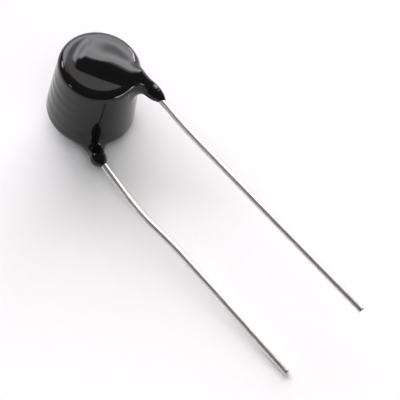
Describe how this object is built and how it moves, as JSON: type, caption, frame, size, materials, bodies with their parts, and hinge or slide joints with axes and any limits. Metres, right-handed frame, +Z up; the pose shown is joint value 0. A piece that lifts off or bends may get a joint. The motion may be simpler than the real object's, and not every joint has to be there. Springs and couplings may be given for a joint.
{
  "type": "disc varistor",
  "caption": "Epoxy-dipped disc varistor, glossy black and about as thick as it is wide, with a mound over the wire on each face and bare tinned radial leads that keep their small kinks.",
  "frame": {"origin": "the middle of the bounding box's underside, on the table", "axes": "+X runs along the leads towards their cut ends, +Z is up from the table, +Y completes a right-handed frame; the disc's axis leans about 11 degrees from +Z as the part comes to rest"},
  "size_m": [0.05, 0.0126, 0.0133],
  "materials": {
    "epoxy": "glossy black dipped epoxy, with shallow rings round the side",
    "zinc_oxide": "matt dark grey fired zinc oxide",
    "fired_silver": "thin matt fired silver layer",
    "solder": "smooth dull solder",
    "tinned_wire": "bright tinned copper wire with light drawing marks"
  },
  "bodies": {
    "root": {"coating": "epoxy", "ceramic_disc": "zinc_oxide", "upper_electrode": "fired_silver", "lower_electrode": "fired_silver", "upper_solder": "solder", "lower_solder": "solder", "upper_lead": "tinned_wire", "lower_lead": "tinned_wire"}
  },
  "joints": []
}
